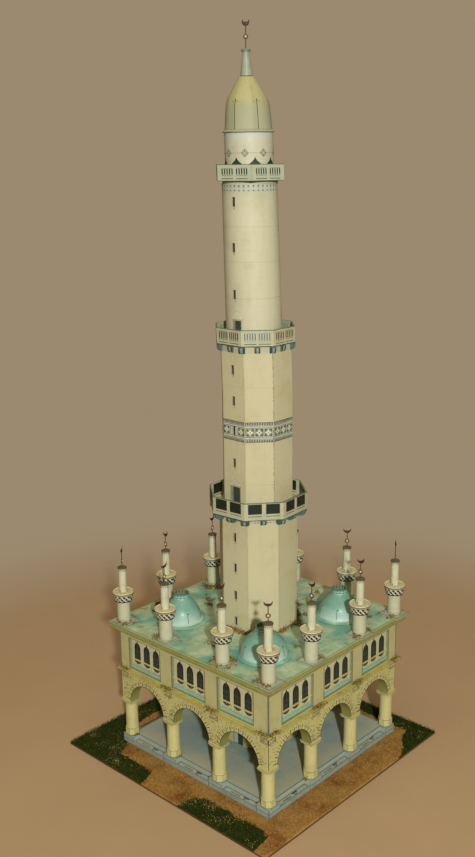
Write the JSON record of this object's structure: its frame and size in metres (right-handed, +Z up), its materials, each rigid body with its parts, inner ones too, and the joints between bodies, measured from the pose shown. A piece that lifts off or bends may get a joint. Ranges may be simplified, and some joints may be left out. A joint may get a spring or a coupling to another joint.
{
  "type": "card model of a minaret",
  "caption": "Tall card model of a minaret: an octagonal tower with balconies and a bulb dome on a square arcaded pavilion with bell domes and corner turrets.",
  "frame": {"origin": "on the underside of the base board, below the axis of the tower", "axes": "+Z up along the tower; -Y is the front facade, +X is to its right"},
  "size_m": [0.1544, 0.1544, 0.4],
  "materials": {
    "printed_cream_card": "printed card, satin, with printed stonework",
    "printed_yellow_card": "printed card, satin, ochre bands",
    "printed_green_card": "printed card, satin, patina green with rust stains",
    "glossy_turquoise_card": "glossy varnished card",
    "printed_blue_grey_card": "printed card, satin, blue-grey paving",
    "glossy_green_yellow_card": "glossy varnished card",
    "painted_grey_card": "painted card, satin",
    "flocked_board": "grey board under grass flock and sand",
    "painted_wire": "painted wire"
  },
  "bodies": {
    "root": {"base_board": "flocked_board", "plinth_step": "printed_blue_grey_card", "plinth_floor": "printed_blue_grey_card", "tower_core": "printed_cream_card", "column_front_1": "printed_yellow_card", "column_front_2": "printed_yellow_card", "column_front_3": "printed_yellow_card", "column_right_1": "printed_yellow_card", "column_right_2": "printed_yellow_card", "column_right_3": "printed_yellow_card", "column_back_1": "printed_yellow_card", "column_back_2": "printed_yellow_card", "column_back_3": "printed_yellow_card", "column_left_1": "printed_yellow_card", "column_left_2": "printed_yellow_card", "column_left_3": "printed_yellow_card", "arcade_front": "printed_cream_card", "arcade_right": "printed_cream_card", "arcade_back": "printed_cream_card", "arcade_left": "printed_cream_card", "gallery_slab": "printed_yellow_card", "upper_wall_front": "printed_cream_card", "upper_wall_right": "printed_cream_card", "upper_wall_back": "printed_cream_card", "upper_wall_left": "printed_cream_card", "cornice": "printed_yellow_card", "roof": "printed_green_card", "dome_front_left": "glossy_turquoise_card", "dome_front_right": "glossy_turquoise_card", "dome_back_right": "glossy_turquoise_card", "dome_back_left": "glossy_turquoise_card", "turret_front_1": "printed_cream_card", "turret_front_2": "printed_cream_card", "turret_front_3": "printed_cream_card", "turret_right_1": "printed_cream_card", "turret_right_2": "printed_cream_card", "turret_right_3": "printed_cream_card", "turret_back_1": "printed_cream_card", "turret_back_2": "printed_cream_card", "turret_back_3": "printed_cream_card", "turret_left_1": "printed_cream_card", "turret_left_2": "printed_cream_card", "turret_left_3": "printed_cream_card", "lower_shaft": "printed_cream_card", "balcony_low": "printed_cream_card", "middle_shaft": "printed_cream_card", "balcony_middle": "printed_cream_card", "upper_shaft": "printed_cream_card", "balcony_top": "printed_cream_card", "drum": "printed_cream_card", "bulb_dome": "glossy_green_yellow_card", "spire": "painted_grey_card", "main_finial": "painted_wire"}
  },
  "joints": []
}
